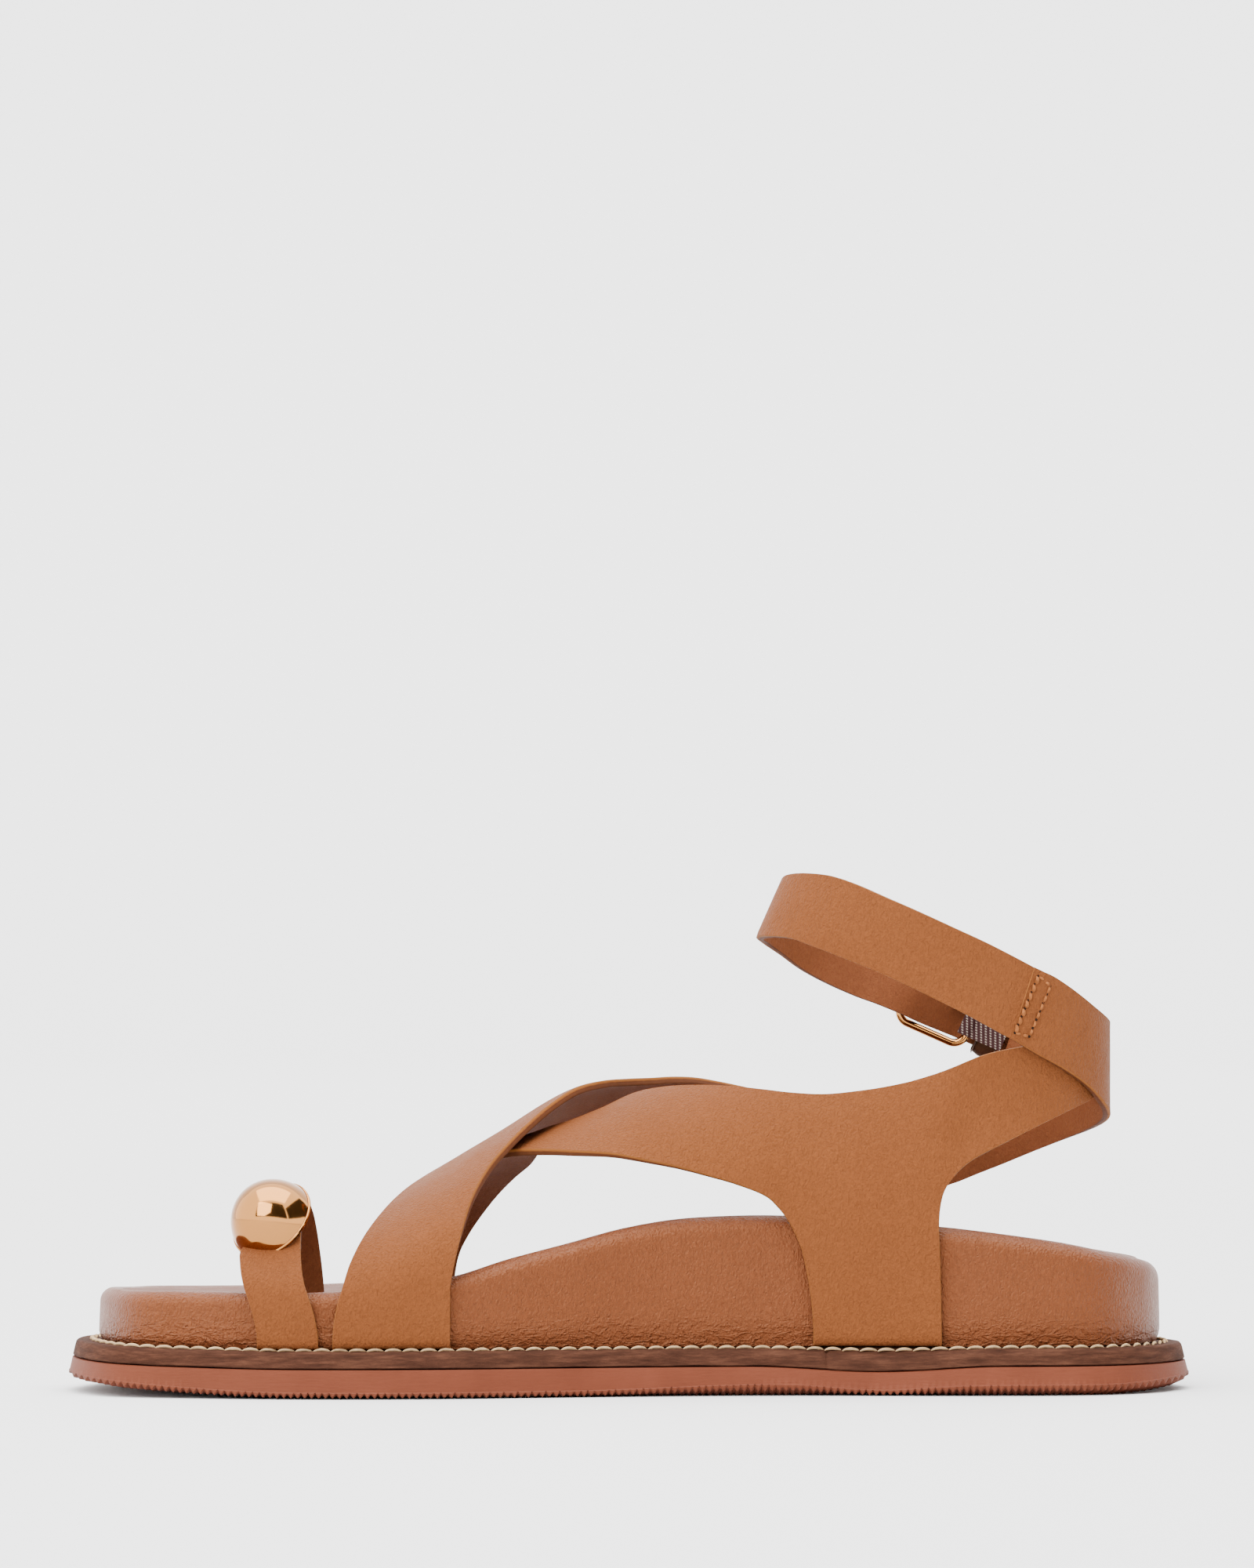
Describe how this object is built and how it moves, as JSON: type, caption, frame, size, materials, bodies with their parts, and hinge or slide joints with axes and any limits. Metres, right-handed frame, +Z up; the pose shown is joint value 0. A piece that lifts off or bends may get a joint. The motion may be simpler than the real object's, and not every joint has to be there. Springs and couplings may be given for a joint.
{
  "type": "ankle strap sandal",
  "caption": "Right-foot sandal with a contoured footbed on a welted rubber sole, crossing instep straps, a buckled ankle strap and a toe loop with a metal dome.",
  "frame": {"origin": "on the floor plane, under the middle of the sandal's bounding box", "axes": "+X from toe to heel, -Y to the inner (medial) side that the picture shows, +Z up"},
  "size_m": [0.2642, 0.1011, 0.1216],
  "materials": {
    "outsole_rubber": "matt terracotta rubber with fine cross tread",
    "welt_leather": "dark brown waxed leather strip",
    "footbed_leather": "smooth tan leather with a soft sheen",
    "insole_leather": "smooth tan sock leather",
    "strap_leather": "fine pebbled tan leather with raw edges",
    "pale_gold": "polished pale gold plating",
    "elastic_weave": "brown woven elastic with pale dots",
    "keeper_leather": "dark brown leather"
  },
  "bodies": {
    "root": {"outsole": "outsole_rubber", "welt": "welt_leather", "footbed": "footbed_leather", "insole": "insole_leather", "upper": "strap_leather", "ankle_strap": "strap_leather", "toe_loop": "strap_leather", "dome_ornament": "pale_gold", "buckle_frame": "pale_gold", "buckle_prong": "pale_gold", "buckle_elastic": "elastic_weave", "strap_keeper": "keeper_leather"}
  },
  "joints": []
}
